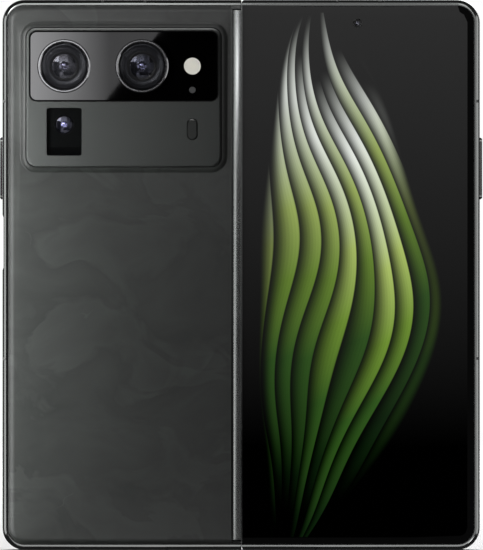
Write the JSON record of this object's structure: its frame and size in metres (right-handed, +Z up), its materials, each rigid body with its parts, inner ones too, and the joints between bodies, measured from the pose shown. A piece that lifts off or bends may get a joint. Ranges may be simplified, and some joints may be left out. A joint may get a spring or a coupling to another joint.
{
  "type": "foldable smartphone",
  "caption": "Book-type foldable phone, open flat, with a leather back, a raised camera island, a full cover screen, a geared hinge, keys and a tray.",
  "frame": {"origin": "middle of the bottom edge of the open phone, on the surface that it stands on", "axes": "+X from the camera half to the cover half, +Y towards the inner folding screen, +Z up along the fold"},
  "size_m": [0.1398, 0.009, 0.1594],
  "materials": {
    "rail_metal": "dark gunmetal, polished",
    "leather": "grey-green marbled leather",
    "island_metal": "satin gunmetal",
    "black_glass": "polished black glass",
    "ring_metal": "dark polished ring",
    "clear_glass": "tinted lens glass",
    "lens_black": "blackened barrel",
    "flash_white": "warm white diffuser",
    "sensor_grey": "grey sensor",
    "band_plastic": "moulded inlay",
    "battery_foil": "black pouch foil",
    "board_green": "solder mask",
    "shield_steel": "tinned steel",
    "speaker_plastic": "moulded",
    "bezel_plastic": "soft black plastic",
    "screen_glass": "folding screen, off",
    "hinge_steel": "stainless steel",
    "screw_steel": "stainless steel",
    "key_metal": "gunmetal, polished",
    "spine_metal": "polished spine",
    "flex_copper": "polyimide",
    "gear_brass": "bright brass",
    "cover_glass": "glossy cover glass",
    "display_panel": "display, lit",
    "mesh_black": "fine mesh"
  },
  "bodies": {
    "camera_half": {"camera_half_frame": "rail_metal", "leather_back": "leather", "camera_island": "island_metal", "island_glass": "black_glass", "left_lens_ring": "ring_metal", "right_lens_ring": "ring_metal", "left_lens_glass": "clear_glass", "right_lens_glass": "clear_glass", "left_camera_module": "lens_black", "right_camera_module": "lens_black", "lower_window": "clear_glass", "lower_camera_module": "lens_black", "flash_lens": "flash_white", "light_sensor": "sensor_grey", "focus_pill": "island_metal", "camera_half_antenna_bands": "band_plastic", "camera_half_battery": "battery_foil", "main_board": "board_green", "board_shield": "shield_steel", "vibration_motor": "shield_steel", "usb_c_receptacle": "shield_steel", "loudspeaker": "speaker_plastic", "charging_board": "board_green", "camera_half_bezel": "bezel_plastic", "camera_half_screen": "screen_glass", "camera_half_wing_plate": "hinge_steel", "camera_half_hinge_arms": "hinge_steel", "camera_half_hinge_screws": "screw_steel", "camera_half_key_switches": "board_green"},
    "volume_rocker": {"volume_rocker": "key_metal"},
    "power_key": {"power_key": "key_metal"},
    "spine": {"spine_cover": "spine_metal", "hinge_chassis": "hinge_steel", "hinge_pins": "screw_steel", "spine_end_caps": "spine_metal", "centre_plate": "hinge_steel", "screen_bend_zone": "screen_glass", "hinge_flex_cables": "flex_copper"},
    "left_idler": {"left_idler_gears": "gear_brass"},
    "right_idler": {"right_idler_gears": "gear_brass"},
    "cover_half": {"cover_half_frame": "rail_metal", "cover_glass": "cover_glass", "cover_display_panel": "display_panel", "selfie_camera": "lens_black", "earpiece_mesh": "mesh_black", "earpiece_speaker": "speaker_plastic", "cover_half_battery": "battery_foil", "cover_half_board": "board_green", "cover_half_board_shield": "shield_steel", "cover_half_antenna_bands": "band_plastic", "cover_half_bezel": "bezel_plastic", "cover_half_screen": "screen_glass", "inner_camera": "lens_black", "cover_half_wing_plate": "hinge_steel", "cover_half_hinge_arms": "hinge_steel", "cover_half_hinge_screws": "screw_steel", "cover_half_key_switch": "board_green", "sim_reader": "shield_steel"},
    "side_key": {"side_key": "key_metal"},
    "sim_tray": {"sim_tray": "key_metal"}
  },
  "joints": [
    {"name": "fold_camera_side", "type": "hinge", "parent": "camera_half", "child": "spine", "pos_m": [-0.0026, 0.0021, 0.0797], "axis": [0, 0, 1], "range_deg": [0, 90], "deforming": ["screen_bend_zone", "hinge_flex_cables"]},
    {"name": "fold_cover_side", "type": "hinge", "parent": "spine", "child": "cover_half", "pos_m": [0.0026, 0.0021, 0.0797], "axis": [0, 0, 1], "range_deg": [0, 90]},
    {"name": "left_idler_turn", "type": "hinge", "parent": "spine", "child": "left_idler", "pos_m": [-0.00095, 0.00115, 0.0797], "axis": [0, 0, 1], "range_deg": [0, 90]},
    {"name": "right_idler_turn", "type": "hinge", "parent": "spine", "child": "right_idler", "pos_m": [0.00095, 0.00115, 0.0797], "axis": [0, 0, 1], "range_deg": [-90, 0]},
    {"name": "volume_tilt", "type": "hinge", "parent": "camera_half", "child": "volume_rocker", "pos_m": [-0.06725, 0.00133, 0.1106], "axis": [0, 1, 0], "range_deg": [-1.2, 1.2], "stiffness_Nm_per_rad": 0.6},
    {"name": "power_press", "type": "slide", "parent": "camera_half", "child": "power_key", "axis": [1, 0, 0], "range_m": [0, 0.00025], "stiffness_N_per_m": 6000},
    {"name": "side_key_press", "type": "slide", "parent": "cover_half", "child": "side_key", "axis": [-1, 0, 0], "range_m": [0, 0.00025], "stiffness_N_per_m": 6000},
    {"name": "tray_slide", "type": "slide", "parent": "cover_half", "child": "sim_tray", "axis": [0, 0, 1], "range_m": [0, 0.015]}
  ],
  "couplings": [
    {"joint": "fold_cover_side", "follows": "fold_camera_side", "ratio": 1},
    {"joint": "left_idler_turn", "follows": "fold_camera_side", "ratio": 1},
    {"joint": "right_idler_turn", "follows": "fold_camera_side", "ratio": -1}
  ]
}
